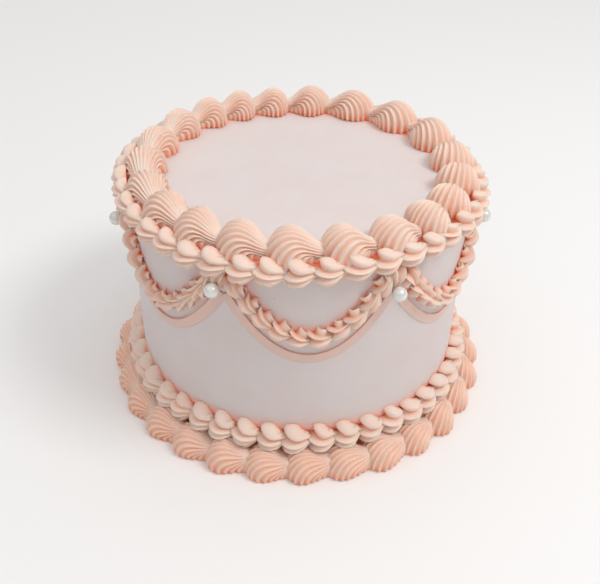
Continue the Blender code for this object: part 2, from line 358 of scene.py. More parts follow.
# Soft lumps, the height up to which it counts as low, and the share of its length that is pinched: the
# low side and the pinched end take painted shade
STAR_LUMPS = 0.02
STAR_LOW = 0.5
PINCHED = 0.25
# Painted shade in its hollows: how narrow it is, and what they have high up and more of low down.
# Painted shade where it is hidden: its foot, its pinched end and what lies against its neighbour
STAR_NARROWNESS = 1.6
HIGH_HOLLOW = 0.85
LOW_HOLLOW = 0.4
HIDDEN_SHADE = 0.5

# The least length of a normal, and the least half width in metres, that is divided by
TINY = 1e-12
HAIR = 1e-7


def swell(share, peak, tail):
    """From nought at the head's end up to one at the peak, then down to the tail's share."""
    head = np.sqrt(np.clip(1.0 - (1.0 - share / peak) ** 2, 0.0, 1.0))
    way = np.clip((share - peak) / (1.0 - peak), 0.0, 1.0)
    fall = tail + (1.0 - tail) * (0.5 + 0.5 * np.cos(math.pi * way)) ** NARROWING
    return np.where(share < peak, head, fall)


def outline_of(tip):
    """A shell's edge, from one side of its tail round the head to the other: places, normals, way."""
    side = np.linspace(-1.0, 1.0, EDGE_POINTS)
    share = np.abs(side) ** EDGE_CROWDING
    x = tip.length * share
    y = -np.sign(side) * 0.5 * tip.width * swell(share, WIDEST, tip.tail_width)
    along = np.concatenate(([0.0], np.cumsum(np.hypot(np.diff(x), np.diff(y)))))
    normal = np.stack((np.gradient(y), -np.gradient(x)))
    return x, y, normal / np.maximum(np.hypot(*normal), TINY), along / along[-1]


def ridge_places(tip, draw):
    """Columns of points round a shell: share of the way, which ridge, place on it from -0.5 to 0.5."""
    widths = 1.0 + draw.uniform(-RIDGE_WIDTHS, RIDGE_WIDTHS, tip.ridges)
    starts = np.concatenate(([0.0], np.cumsum(widths))) / widths.sum()
    step = (np.arange(tip.columns) + 0.5) / tip.columns - 0.5
    place = np.sign(step) * 0.5 * np.abs(2.0 * step) ** GATHER
    ridge = np.repeat(np.arange(tip.ridges), tip.columns)
    place = np.tile(place, tip.ridges)
    return starts[ridge] + (place + 0.5) * (starts[ridge + 1] - starts[ridge]), ridge, place


def thin_crest(fall):
    """A ridge's height over its grooves, where the fall is nought on its crest and one in a groove."""
    return 1.0 - np.sqrt(fall**2 + CREST_ROUNDING) / math.sqrt(1.0 + CREST_ROUNDING)


def surface_normals(points):
    """Unit normals of a grid that closes round its second axis."""
    down = np.gradient(points, axis=0)
    across = np.roll(points, -1, axis=1) - np.roll(points, 1, axis=1)
    normal = np.cross(down, across)
    return normal / np.maximum(np.linalg.norm(normal, axis=2, keepdims=True), TINY)


def off_ends(way, reach):
    """From nought at both ends of a shell's edge up to one, over a share of the way."""
    return np.clip(np.minimum(way, 1.0 - way) / reach, 0.0, 1.0)


def low_down(points, level):
    """From nought at a level down to one on what a shell lies on."""
    return np.clip(1.0 - points[:, :, 2] / level, 0.0, 1.0)


def shell_threads(tip, way):
    """The smooth shell under the ridges: a grid of points whose columns run from the tail to the foot.

    Every column is a thread of icing. The threads leave the tail side by side, each at its own height
    on it. The lowest land first, near the tail, and the highest reach the end of the head.
    """
    edge_x, edge_y, edge_normal, along = outline_of(tip)
    end_x, end_y = np.interp(way, along, edge_x), np.interp(way, along, edge_y)
    normal = np.stack((np.interp(way, along, edge_normal[0]), np.interp(way, along, edge_normal[1])))
    normal /= np.hypot(*normal)
    taper = np.where(end_x < WIDEST * tip.length, 1.0, swell(end_x / tip.length, WIDEST, tip.tail_width))

    def half_width(x):
        return 0.5 * tip.width * swell(x / tip.length, WIDEST, tip.tail_width)

    lift = QUARTER_TURN * (1.0 - np.abs(1.0 - 2.0 * way)) ** LIFT
    aside = np.sign(end_y) * np.cos(lift)
    start_y = tip.spread * aside * half_width(tip.length)
    lead_x = tip.length - STRAIGHT * (tip.length - end_x)
    straight_y = start_y + STRAIGHT * (end_y - start_y)
    lead_y = straight_y + tip.spread * (aside * half_width(lead_x) - straight_y)
    turn = tip.bend * tip.spread * 0.5 * tip.width * taper
    rake = RAKE * tip.spread * (tip.length - end_x)
    down = np.linspace(0.0, 1.0, THREAD_POINTS)[:, None]
    up = 1.0 - down
    weights = (up**3, 3.0 * down * up**2, 3.0 * down**2 * up, down**3)
    stops_x = (tip.length, lead_x, end_x - turn * normal[0] + rake, end_x)
    stops_y = (start_y, lead_y, end_y - turn * normal[1], end_y)
    x = sum(weight * stop for weight, stop in zip(weights, stops_x))
    y = sum(weight * stop for weight, stop in zip(weights, stops_y))

    share = np.clip(np.abs(y) / np.maximum(half_width(x), HAIR), 0.0, 1.0)
    dome = np.sqrt(1.0 - share**SQUARENESS)
    dome[-1] = 0.0
    foot = BELLY * tip.height * (TAIL_BELLY + (1.0 - TAIL_BELLY) * taper)
    z = foot + (tip.height - foot) * swell(x / tip.length, HIGHEST, tip.tail_height) * dome

    steps = np.sqrt(np.diff(x, axis=0) ** 2 + np.diff(y, axis=0) ** 2 + np.diff(z, axis=0) ** 2)
    run = np.concatenate((np.zeros((1, len(way))), np.cumsum(steps, axis=0))) / steps.sum(axis=0)
    rows = np.linspace(0.0, 1.0, tip.rows - TUCK_ROWS)
    grid = np.empty((tip.rows, len(way), 3))
    for c in range(len(way)):
        for axis, values in enumerate((x, y, z)):
            grid[: len(rows), c, axis] = np.interp(rows, run[:, c], values[:, c])
    turn_under = np.linspace(0.0, QUARTER_TURN, TUCK_ROWS + 1)[1:, None]
    inward = TUCK * tip.width * taper * (1.0 - np.cos(turn_under))
    grid[len(rows):, :, 0] = end_x - inward * normal[0]
    grid[len(rows):, :, 1] = end_y - inward * normal[1]
    grid[len(rows):, :, 2] = foot * (1.0 - np.sin(turn_under))
    return grid


def shell_surface(tip, draw):
    """A piped shell as a grid of points, in its own axes, and the painted shade of each one: in its grooves
    and low down.

    Ridges are as deep as they are far apart, so they fade towards the tail.
    """
    way, ridge, place = ridge_places(tip, draw)
    points = shell_threads(tip, way)
    side = tip.columns // 2
    pitch = np.linalg.norm(np.roll(points, side, axis=1) - np.roll(points, -side, axis=1), axis=2)
    pitch /= np.median(pitch[-TUCK_ROWS - 1])
    ends = off_ends(way, tip.plain / tip.ridges) ** RIDGE_FADING
    parted = np.clip((pitch - tip.merging) / PARTING, 0.0, 1.0)
    parted *= np.clip(np.arange(tip.rows) / RISING_ROWS, 0.0, 1.0)[:, None]
    depth = np.clip(pitch, 0.0, WIDEST_SPACING) ** tip.fading
    strength = depth * parted * parted * (3.0 - 2.0 * parted) * ends

    size = 1.0 + draw.uniform(-RIDGE_HEIGHTS, RIDGE_HEIGHTS, tip.ridges)[ridge]
    wave = thin_crest(np.sin(math.pi * place))
    phases = draw.uniform(0.0, FULL_TURN, 2)
    length, width = points[:, :, 0] / tip.length, points[:, :, 1] / tip.width
    # About one wave along the shell and one aslant across it
    waves = np.sin(7.0 * length + phases[0]) + np.sin(6.0 * width + 3.0 * length + phases[1])
    lumps = RIDGED_LUMPS * tip.height * waves
    low = low_down(points, RIDGED_LOW * tip.height)
    raised = tip.depth * strength * (wave - GROOVE_SHARE) * (1.0 - LOW_FLATTENING * low) * size
    points = points + surface_normals(points) * (raised + lumps * ends)[:, :, None]
    points[:, :, 0] -= 0.5 * tip.length
    points[:, :, 2] = np.maximum(points[:, :, 2], 0.0)
    # Painted shade: in the grooves, more of it low down, and on the shell's foot, most of it by the tail
    groove_shade = SHALLOW_GROOVE_SHADE * parted * ends + DEEP_GROOVE_SHADE * strength
    hollow = (1.0 - wave) ** RIDGED_NARROWNESS * groove_shade
    fold = hollow * (HIGH_GROOVE + LOW_GROOVE * low) + low * (SHELL_FOOT_SHADE - SHADE_LOST_OFF_TAIL * ends)
    return points, fold


def fin_columns(count, crest, before):
    """Places across a fin from one groove to the other, how far up each is, and if it is before the crest.

    They crowd round the crest, and a share of the columns lies before it.
    """
    step = (np.arange(count) + 0.5) / count
    rising = crest * (1.0 - np.clip(1.0 - step / before, 0.0, 1.0) ** GATHER)
    falling = crest + (1.0 - crest) * np.clip((step - before) / (1.0 - before), 0.0, 1.0) ** GATHER
    place = np.where(step < before, rising, falling)
    return place, np.minimum(place / crest, (1.0 - place) / (1.0 - crest)), place < crest


def fin_places(tip, draw):
    """Columns of points round a star shell: share of the way, which fin, and height over the grooves."""
    first = np.arange(tip.fins) == 0
    widths = np.where(first, tip.leaf, (1.0 - tip.leaf) / (tip.fins - 1.0))
    widths *= 1.0 + draw.uniform(-FIN_WIDTHS, FIN_WIDTHS, tip.fins)
    starts = np.concatenate(([0.0], np.cumsum(widths))) / widths.sum()
    leaf_columns = tip.columns + LEAF_MORE_COLUMNS
    leaf = fin_columns(leaf_columns, LEAF_CREST, LEAF_RISING)
    other = fin_columns(tip.columns, FIN_CREST, FIN_RISING)
    fin = np.repeat(np.arange(tip.fins), np.where(first, leaf_columns, tip.columns))
    place, rise, before = (np.concatenate((a, np.tile(b, tip.fins - 1))) for a, b in zip(leaf, other))
    way = starts[fin] + place * (starts[fin + 1] - starts[fin])
    thin = thin_crest(np.cos(QUARTER_TURN * rise))
    broad = LEAF_SLOPE * rise + LEAF_BULGE * np.sin(QUARTER_TURN * rise)
    return way, fin, np.where((fin == 0) & before, broad, thin)


def star_shell(tip, draw, down=(0.0, -1.0)):
    """A shell from an open star tip, in its own axes, and the painted shade of each point.

    Its fins fan out from the tail, thin and far apart. The uppermost is a broad leaf with a steep
    lower edge. The fins hang down a little.
    """
    way, fin, wave = fin_places(tip, draw)
    points = shell_threads(tip, way)
    wide = np.linalg.norm(points - points[:, [0]], axis=2).max(axis=1, keepdims=True)
    strength = np.clip(wide / wide.max(), 0.0, 1.0) ** FIN_GROWTH * off_ends(way, FIN_EDGE)
    size = 1.0 + draw.uniform(-FIN_HEIGHTS, FIN_HEIGHTS, tip.fins)[fin]
    phase = draw.uniform(0.0, FULL_TURN)
    against = 1.0 - off_ends(way, AGAINST)
    length = points[:, :, 0] / tip.length
    lumps = STAR_LUMPS * tip.height * (1.0 - against) * np.sin(6.0 * length + 4.0 * way + phase)
    low = low_down(points, STAR_LOW * tip.height)
    raised = tip.depth * strength * (wave - GROOVE_SHARE) * size + lumps
    points = points + surface_normals(points) * raised[:, :, None]
    points[:, :, :2] += (tip.sag * strength * wave)[:, :, None] * np.array(down)
    pinched = np.clip(1.0 - (1.0 - points[:, :, 0] / tip.length) / PINCHED, 0.0, 1.0)
    points[:, :, 0] -= 0.5 * tip.length
    points[:, :, 2] = np.maximum(points[:, :, 2], 0.0)
    # Painted shade in the hollows, more of it low down, and where the shell is hidden: its foot, its
    # pinched end and against its neighbour
    hollow = (1.0 - wave) ** STAR_NARROWNESS * strength * (HIGH_HOLLOW + LOW_HOLLOW * low)
    return points, hollow + HIDDEN_SHADE * (low + pinched + against)


class Icing:
    """Gathers piped shapes and makes one mesh of them."""

    def __init__(self):
        self.points, self.quads, self.fans, self.folds = [], [], [], []
        self.count = 0

    def add_grid(self, points, fold):
        """Adds a grid that closes round its columns, with a point in the middle of each end."""
        rows, columns = points.shape[:2]
        ends = np.stack((points[0].mean(axis=0), points[-1].mean(axis=0)))
        self.points += [points.reshape(-1, 3), ends]
        self.folds += [fold.reshape(-1), np.array([fold[0].mean(), fold[-1].mean()])]
        index = self.count + np.arange(rows * columns).reshape(rows, columns)
        near, far = index, np.roll(index, -1, axis=1)
        quads = np.stack((near[:-1], near[1:], far[1:], far[:-1]), axis=2)
        self.quads.append(quads.reshape(-1, 4))
        first, last = self.count + rows * columns, self.count + rows * columns + 1
        start = np.stack((np.full(columns, first), near[0], far[0]), axis=1)
        finish = np.stack((np.full(columns, last), far[-1], near[-1]), axis=1)
        self.fans += [start, finish]
        self.count += rows * columns + 2

    def make(self, name, icing):
        """One object of all that was gathered, shaded smooth, with its folds, the mask of its painted shade
        and light, as an attribute.
        """
        mesh = bpy.data.meshes.new(name)
        faces = np.concatenate(self.quads).tolist() + np.concatenate(self.fans).tolist()
        mesh.from_pydata(np.concatenate(self.points).tolist(), [], faces)
        fold = mesh.attributes.new("fold", "FLOAT", "POINT")
        fold.data.foreach_set("value", np.concatenate(self.folds).astype(np.float32))
        mesh.shade_smooth()
        mesh.materials.append(icing)
        made = bpy.data.objects.new(name, mesh)
        bpy.context.scene.collection.objects.link(made)
        return made


def turned(points, angle):
    """Points turned about Z in their own axes."""
    cos, sin = math.cos(angle), math.sin(angle)
    x, y = points[..., 0], points[..., 1]
    return np.stack((cos * x - sin * y, sin * x + cos * y, points[..., 2]), axis=-1)


def laid_on_top(points, bearing, radius, level):
    """Points bent round a level ring: X runs along it, Y towards the axis, Z up."""
    turn = bearing + points[..., 0] / radius
    out = radius - points[..., 1]
    return np.stack((out * np.sin(turn), -out * np.cos(turn), level + points[..., 2]), axis=-1)


def laid_on_wall(points, bearing, level):
    """Points bent round the wall: X runs along it, Y up, Z outwards."""
    turn = bearing + points[..., 0] / WALL_RADIUS
    out = WALL_RADIUS + points[..., 2]
    return np.stack((out * np.sin(turn), -out * np.cos(turn), level + points[..., 1]), axis=-1)


def uneven(tip, draw, size):
    """The same tip with the small changes of size that a hand makes."""
    length, width, height = 1.0 + draw.uniform(-size, size, 3)
    return tip._replace(length=tip.length * length, width=tip.width * width, height=tip.height * height)


def sway(draw, degrees):
    """A small turn to either side, as a hand makes, of up to so many degrees."""
    return math.radians(draw.uniform(-degrees, degrees))


def turns_round(count):
    """Bearings spaced evenly all the way round."""
    return np.linspace(0.0, FULL_TURN, count + 1)[:-1]


def finish_piece(made, slot, *nodes):
    """Ties a piece to the cake's body and hides the solids that it stands for."""
    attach(made, "root")
    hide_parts(*nodes)
    return made


def shader_of(name):
    """A new material, its node tree and its Principled shader."""
    material = bpy.data.materials.new(name)
    material.use_nodes = True
    return material, material.node_tree, material.node_tree.nodes["Principled BSDF"]


def group_node(tree, group, **values):
    """Places a node group in a tree with the values given by its inputs' names."""
    node = tree.nodes.new("ShaderNodeGroup")
    node.node_tree = group
    for name, value in values.items():
        node.inputs[name.replace("_", " ").capitalize()].default_value = value
    return node


def icing_grain():
    """Node group: fine grain and a few tiny air holes, as masks from 0 to 1."""
    found = bpy.data.node_groups.get("icing_grain")
    if found:
        return found
    group = bpy.data.node_groups.new("icing_grain", "ShaderNodeTree")
    made = group.interface
    for name, default in (("Grain size", 0.0006), ("Hole spacing", 0.006), ("Hole size", 0.07)):
        socket = made.new_socket(name, in_out="INPUT", socket_type="NodeSocketFloat")
        socket.default_value = default
    for name in ("Grain", "Holes", "Clouds"):
        made.new_socket(name, in_out="OUTPUT", socket_type="NodeSocketFloat")
    nodes, links = group.nodes, group.links
    inputs, outputs = nodes.new("NodeGroupInput"), nodes.new("NodeGroupOutput")
    place = nodes.new("ShaderNodeTexCoord")

    def per(socket):
        """Scale of a texture, from the size of one of its cells in metres."""
        node = nodes.new("ShaderNodeMath")
        node.operation = "DIVIDE"
        node.inputs[0].default_value = 1.0
        links.new(socket, node.inputs[1])
        return node.outputs[0]

    grain = nodes.new("ShaderNodeTexNoise")
    grain.inputs["Detail"].default_value = 4.0
    links.new(place.outputs["Object"], grain.inputs["Vector"])
    links.new(per(inputs.outputs["Grain size"]), grain.inputs["Scale"])
    links.new(grain.outputs["Fac"], outputs.inputs["Grain"])

    cells = nodes.new("ShaderNodeTexVoronoi")
    cells.inputs["Randomness"].default_value = 1.0
    links.new(place.outputs["Object"], cells.inputs["Vector"])
    links.new(per(inputs.outputs["Hole spacing"]), cells.inputs["Scale"])
    hole = nodes.new("ShaderNodeMath")
    hole.operation = "LESS_THAN"
    links.new(cells.outputs["Distance"], hole.inputs[0])
    links.new(inputs.outputs["Hole size"], hole.inputs[1])
    links.new(hole.outputs[0], outputs.inputs["Holes"])

    clouds = nodes.new("ShaderNodeTexNoise")
    clouds.inputs["Scale"].default_value = 45.0
    clouds.inputs["Detail"].default_value = 2.0
    links.new(place.outputs["Object"], clouds.inputs["Vector"])
    links.new(clouds.outputs["Fac"], outputs.inputs["Clouds"])
    return group


def mixed(tree, mask, first, second):
    """A colour that goes from the first to the second as the mask goes from 0 to 1."""
    node = tree.nodes.new("ShaderNodeMix")
    node.data_type = "RGBA"
    tree.links.new(mask, node.inputs["Factor"])
    for socket, value in ((node.inputs["A"], first), (node.inputs["B"], second)):
        if isinstance(value, bpy.types.NodeSocket):
            tree.links.new(value, socket)
        else:
            socket.default_value = (*value, 1.0)
    return node.outputs["Result"]


def ranged(tree, value, low, high, out_low=0.0, out_high=1.0):
    """A value mapped smoothly from one range to another."""
    node = tree.nodes.new("ShaderNodeMapRange")
    node.interpolation_type = "SMOOTHSTEP"
    tree.links.new(value, node.inputs["Value"])
    node.inputs["From Min"].default_value = low
    node.inputs["From Max"].default_value = high
    node.inputs["To Min"].default_value = out_low
    node.inputs["To Max"].default_value = out_high
    return node.outputs["Result"]


# Where the grain and the clouds of the icing change most
GRAIN_RANGE = (0.3, 0.7)
# How deep each colour of light goes into icing, next to red
ICING_DEPTHS = (1.0, 0.5, 0.35)
SUGAR_DEPTHS = (1.0, 0.9, 0.8)

# Colours of the tiny air holes, painted dark as shade falls in them, and of a faint painted glow in the
# piping's deep folds and on the coat beside and under the piping
PIPED_HOLE = (0.62, 0.16, 0.07)
COAT_HOLE = (0.55, 0.33, 0.30)
PIPED_LIGHT = (0.075, 0.012, 0.004)
COAT_LIGHT = (0.045, 0.010, 0.005)
# What the clouds leave of the coat's colour, what the grain leaves of a pearl's, and the shares of
# the piping's colour and of the coat's in a ribbon's
COAT_CLOUD = (1.0, 0.965, 0.955)
PEARL_SHADE = 0.93
RIBBON_PIPING = 0.45
RIBBON_COAT = 0.55


def fold_depth(tree):
    """How deep in a fold each point lies, or how near to the piping, as the mesh says: the mask for painted
    shade, and on the coat for painted bounce light too.
    """
    node = tree.nodes.new("ShaderNodeAttribute")
    node.attribute_name = "fold"
    return node.outputs["Fac"]


def holed(tree, grain, body, colour, strength):
    """A colour with the tiny air holes painted in it, dark with painted shade."""
    return mixed(tree, ranged(tree, grain.outputs["Holes"], 0.0, 1.0, 0.0, strength), body, colour)


def roughened(tree, grain, smooth, rough, shader):
    """Roughness that goes from smooth to rough with the grain."""
    roughness = ranged(tree, grain, *GRAIN_RANGE, smooth, rough)
    tree.links.new(roughness, shader.inputs["Roughness"])


def bumped(tree, height, distance, strength, shader):
    """Fine relief on the shader's normal."""
    bump = tree.nodes.new("ShaderNodeBump")
    bump.inputs["Distance"].default_value = distance
    bump.inputs["Strength"].default_value = strength
    tree.links.new(height, bump.inputs["Height"])
    tree.links.new(bump.outputs["Normal"], shader.inputs["Normal"])


def glowing(tree, mask, colour, shader):
    """A faint painted glow out of the icing where the mask says, though the icing is no lamp."""
    shader.inputs["Emission Strength"].default_value = 1.0
    tree.links.new(mixed(tree, mask, (0.0, 0.0, 0.0), colour), shader.inputs["Emission Color"])


def soft_inside(shader, weight, scale, depths=ICING_DEPTHS):
    """Lets light into the icing, most of all the red."""
    shader.inputs["Subsurface Weight"].default_value = weight
    shader.inputs["Subsurface Radius"].default_value = depths
    shader.inputs["Subsurface Scale"].default_value = scale


def piped_icing():
    """Material of the piping: pale peach on the crests, with painted shade in the folds and in the tiny air
    holes, and a faint painted glow in the deepest folds.
    """
    found = bpy.data.materials.get("piped_icing_finish")
    if found:
        return found
    colours = bpy.context.scene.cake_icing
    material, tree, shader = shader_of("piped_icing_finish")
    grain = group_node(tree, icing_grain(), grain_size=0.0005, hole_spacing=0.0045, hole_size=0.055)
    fold = fold_depth(tree)
    # Painted shade: the groove colour in the folds
    grooves = ranged(tree, fold, low=0.12, high=1.0, out_high=0.9)
    body = mixed(tree, grooves, colours.crest, colours.groove)
    # Painted shade: the pinch colour where the piping is pressed against what it lies on
    pinched = ranged(tree, fold, low=0.7, high=1.3, out_high=0.9)
    body = mixed(tree, pinched, body, colours.pinch)
    clouds = ranged(tree, grain.outputs["Clouds"], *GRAIN_RANGE, out_high=0.12)
    body = mixed(tree, clouds, body, colours.groove)
    # Painted shade in the tiny air holes
    body = holed(tree, grain, body, PIPED_HOLE, strength=0.5)
    tree.links.new(body, shader.inputs["Base Color"])
    # Painted glow in the deep folds
    glowing(tree, ranged(tree, fold, low=0.45, high=1.4), PIPED_LIGHT, shader)
    roughened(tree, grain.outputs["Grain"], smooth=0.46, rough=0.6, shader=shader)
    shader.inputs["Specular IOR Level"].default_value = 0.35
    soft_inside(shader, weight=0.5, scale=0.0010)
    bumped(tree, grain.outputs["Grain"], distance=0.00008, strength=0.5, shader=shader)
    return material


def coat_icing():
    """Material of the coat: pale pink with faint clouds, with painted bounce light beside the piping and
    painted shade under it.
    """
    found = bpy.data.materials.get("coat_icing_finish")
    if found:
        return found
    icing, colour = bpy.context.scene.cake_icing, bpy.context.scene.cake_coat.colour
    material, tree, shader = shader_of("coat_icing_finish")
    grain = group_node(tree, icing_grain(), grain_size=0.0009, hole_spacing=0.016, hole_size=0.03)
    cloud = tuple(c * f for c, f in zip(colour, COAT_CLOUD))
    body = mixed(tree, ranged(tree, grain.outputs["Clouds"], low=0.35, high=0.7), colour, cloud)
    # Painted shade in the tiny air holes
    body = holed(tree, grain, body, COAT_HOLE, strength=0.35)
    near = fold_depth(tree)
    # Painted bounce light: the piping's colour on the coat right beside it
    body = mixed(tree, ranged(tree, near, low=0.0, high=0.5, out_high=0.7), body, icing.glow)
    # Painted shade under the piping
    body = mixed(tree, ranged(tree, near, low=0.45, high=0.95, out_high=0.85), body, icing.groove)
    # Painted shade, darkest, in the deepest gaps under the piping
    body = mixed(tree, ranged(tree, near, low=0.8, high=1.0, out_high=0.8), body, icing.pinch)
    tree.links.new(body, shader.inputs["Base Color"])
    # Painted glow beside and under the piping
    glowing(tree, ranged(tree, near, low=0.0, high=0.6), COAT_LIGHT, shader)
    roughened(tree, grain.outputs["Clouds"], smooth=0.5, rough=0.62, shader=shader)
    shader.inputs["Specular IOR Level"].default_value = 0.3
    soft_inside(shader, weight=0.3, scale=0.003)
    bumped(tree, grain.outputs["Clouds"], distance=0.0005, strength=0.25, shader=shader)
    return material


def ribbon_icing():
    """Material of the ribbons: between the coat and the piping in colour, and smoother, with painted shade
    along their edges and under their lip.
    """
    found = bpy.data.materials.get("ribbon_icing_finish")
    if found:
        return found
    coat, groove = bpy.context.scene.cake_coat.colour, bpy.context.scene.cake_icing.groove
    material, tree, shader = shader_of("ribbon_icing_finish")
    grain = group_node(tree, icing_grain(), grain_size=0.0007, hole_spacing=0.007, hole_size=0.05)
    pale = [RIBBON_COAT * a + RIBBON_PIPING * b for a, b in zip(coat, groove)]
    # Painted shade along the band's edges and on its hidden back
    body = mixed(tree, ranged(tree, fold_depth(tree), low=0.2, high=1.0), pale, groove)
    # Painted shade in the tiny air holes
    body = holed(tree, grain, body, PIPED_HOLE, strength=0.5)
    tree.links.new(body, shader.inputs["Base Color"])
    roughened(tree, grain.outputs["Grain"], smooth=0.42, rough=0.55, shader=shader)
    shader.inputs["Specular IOR Level"].default_value = 0.35
    soft_inside(shader, weight=0.3, scale=0.0012)
    bumped(tree, grain.outputs["Grain"], distance=0.00006, strength=0.4, shader=shader)
    return material


def pearl_sugar():
    """Material of the pearls: white with a cool sheen under a clear glaze."""
    found = bpy.data.materials.get("pearl_finish")
    if found:
        return found
    colour = bpy.context.scene.cake_icing.pearl
    material, tree, shader = shader_of("pearl_finish")
    grain = group_node(tree, icing_grain(), grain_size=0.0008, hole_spacing=0.02, hole_size=0.0)
    shade = tuple(c * PEARL_SHADE for c in colour)
    body = mixed(tree, ranged(tree, grain.outputs["Grain"], *GRAIN_RANGE), colour, shade)
    tree.links.new(body, shader.inputs["Base Color"])
    roughened(tree, grain.outputs["Grain"], smooth=0.14, rough=0.2, shader=shader)
    shader.inputs["Specular IOR Level"].default_value = 1.0
    shader.inputs["Coat Weight"].default_value = 1.0
    shader.inputs["Coat IOR"].default_value = 1.8
    shader.inputs["Coat Roughness"].default_value = 0.06
    soft_inside(shader, weight=0.15, scale=0.001, depths=SUGAR_DEPTHS)
    return material


def junction_bearing(settings, index):
    """Bearing of a junction, or with a half of the middle between two."""
    return settings.junction + index * FULL_TURN / SWAGS


def drape(line, off):
    """Level and slope of a swag or a ribbon, so far off its middle."""
    degrees = np.degrees(off)
    rise = 2.0 * line.curve * degrees / WALL_DEGREE
    return line.low + line.curve * degrees**2, np.arctan(rise)


class Shine(NamedTuple):
    """How the colour of a border is painted on the coat: as bounced light beside it, and as shade under it.

    Its edge is a share of its width away from its middle, and the shine fades over its reach.
    """

    edge: float
    reach: float
    strength: float


UPPER_SHINE = Shine(edge=0.42, reach=0.0024, strength=1.0)
LOWER_SHINE = Shine(edge=0.4, reach=0.0030, strength=1.0)
ABOVE_SWAG_SHINE = Shine(edge=0.42, reach=0.0020, strength=1.0)
BELOW_SWAG_SHINE = Shine(edge=0.5, reach=0.0010, strength=0.7)
ABOVE_RIBBON_SHINE = Shine(edge=0.5, reach=0.0006, strength=0.8)
RIM_SHINE = Shine(edge=0.28, reach=0.0015, strength=1.0)
# The painted bounce light right beside the piping, and how far under it the coat takes its full painted
# shade
BESIDE_PIPING = 0.42
UNDER_PIPING = 0.003
# How far below the cake's height the coat still counts as its top, and how far the shine above a
# ribbon reaches under its upper edge
TOP_EDGE = 0.001
RIBBON_EDGE = 0.001


def shine_on_coat(shine, away, width, where):
    """A border's shine on the coat, so far away from its middle."""
    gap = away - shine.edge * width
    beside = BESIDE_PIPING * np.exp(-np.maximum(gap, 0.0) / shine.reach)
    return shine.strength * where * np.maximum(beside, np.clip(-gap / UNDER_PIPING, 0.0, 1.0))


def near_piping(scene, bearing, out, level):
    """How near to the piping the coat is, from 0 to 1: the mask for the piping's colour painted on it as
    bounced light, and for the painted shade under the piping.
    """
    rim, upper, lower = scene.cake_rim, scene.cake_upper, scene.cake_lower
    swag, ribbon = scene.cake_swag, scene.cake_ribbon
    pitch = FULL_TURN / SWAGS
    off = (bearing - swag.junction) % pitch - 0.5 * pitch
    swag_level, swag_slope = drape(swag, off - swag.shift)
    above_swag = (level - swag_level) * np.cos(swag_slope)
    ribbon_level, ribbon_slope = drape(ribbon, off - ribbon.shift)
    above_ribbon = (level - ribbon_level) * np.cos(ribbon_slope)
    past_ribbon = above_ribbon > 0.5 * ribbon.width - RIBBON_EDGE
    top = level > CAKE_HEIGHT - TOP_EDGE
    shines = (
        shine_on_coat(UPPER_SHINE, upper.level - level, upper.width, ~top),
        shine_on_coat(LOWER_SHINE, level - lower.level, lower.width, ~top),
        shine_on_coat(ABOVE_SWAG_SHINE, above_swag, swag.width, (above_swag > 0.0) & ~top),
        shine_on_coat(BELOW_SWAG_SHINE, -above_swag, swag.width, (above_swag <= 0.0) & ~top),
        shine_on_coat(ABOVE_RIBBON_SHINE, above_ribbon, ribbon.width, past_ribbon & ~top),
        shine_on_coat(RIM_SHINE, rim.radius - out, rim.width, top),
    )
    return np.max(np.broadcast_arrays(*shines), axis=0)


# Rings of points of the coat: the radii of the innermost ring and of where the rim's shells begin,
# how many rings each part has, and how many points a ring
COAT_MIDDLE = 0.004
RIM_START = 0.06
MIDDLE_RINGS = 8
BORDER_RINGS = 14
CORNER_RINGS = 9
WALL_RINGS = 96
UNDER_RINGS = 6
RING_POINTS = 256
# How far in from the wall the scraper's waves reach, how deep the low places of the top are, and how
# far from its middle they are at their full depth
WAVY_EDGE = 0.01
TOP_DIP = 0.00025
LEVEL_MIDDLE = 0.02

# Where the random draws of each piece begin, to which a swag, a ribbon, a drop or a pearl adds its
# own number
SEEDS = {"rim": 21, "foot": 30, "upper": 44, "lower": 45, "drop": 50, "pearl": 60, "swag": 70, "ribbon": 90}


